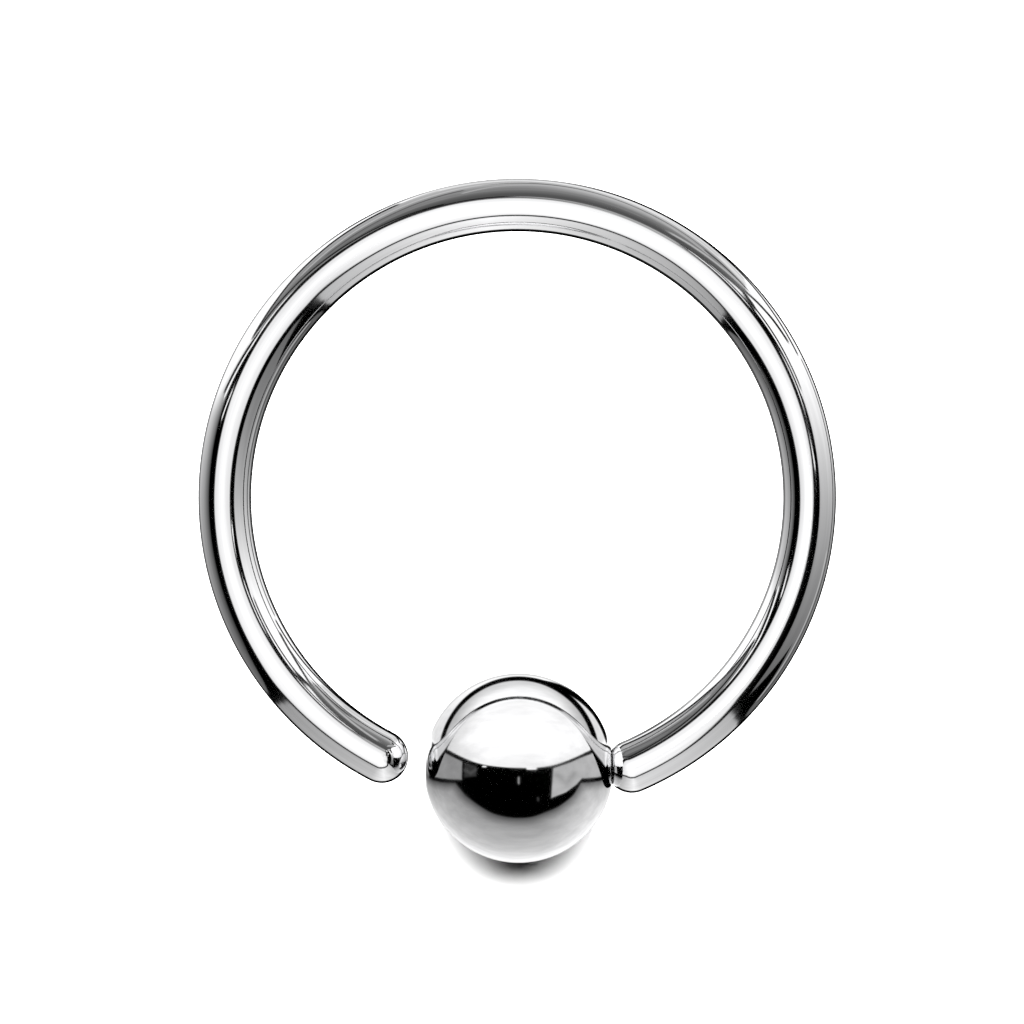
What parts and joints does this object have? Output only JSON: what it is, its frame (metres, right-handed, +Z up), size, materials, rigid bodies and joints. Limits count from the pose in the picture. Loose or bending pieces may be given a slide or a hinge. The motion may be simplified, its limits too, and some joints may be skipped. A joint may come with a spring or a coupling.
{
  "type": "captive bead ring",
  "caption": "Hoop of round steel wire, open by a small gap, with a round bead fixed on its end; a body-piercing ring that is twisted open sideways to fit.",
  "frame": {"origin": "on the surface that the ring lies on, under the middle of its outline seen from above", "axes": "+Z up; +Y from the bead across the hoop, the way the ring is longest; +X towards the end of the wire that holds the bead"},
  "size_m": [0.0096, 0.0102, 0.0028],
  "materials": {
    "ring_steel": "mirror-polished surgical steel wire",
    "bead_steel": "mirror-polished surgical steel bead"
  },
  "bodies": {
    "root": {"ring": "ring_steel", "bead": "bead_steel"}
  },
  "joints": []
}
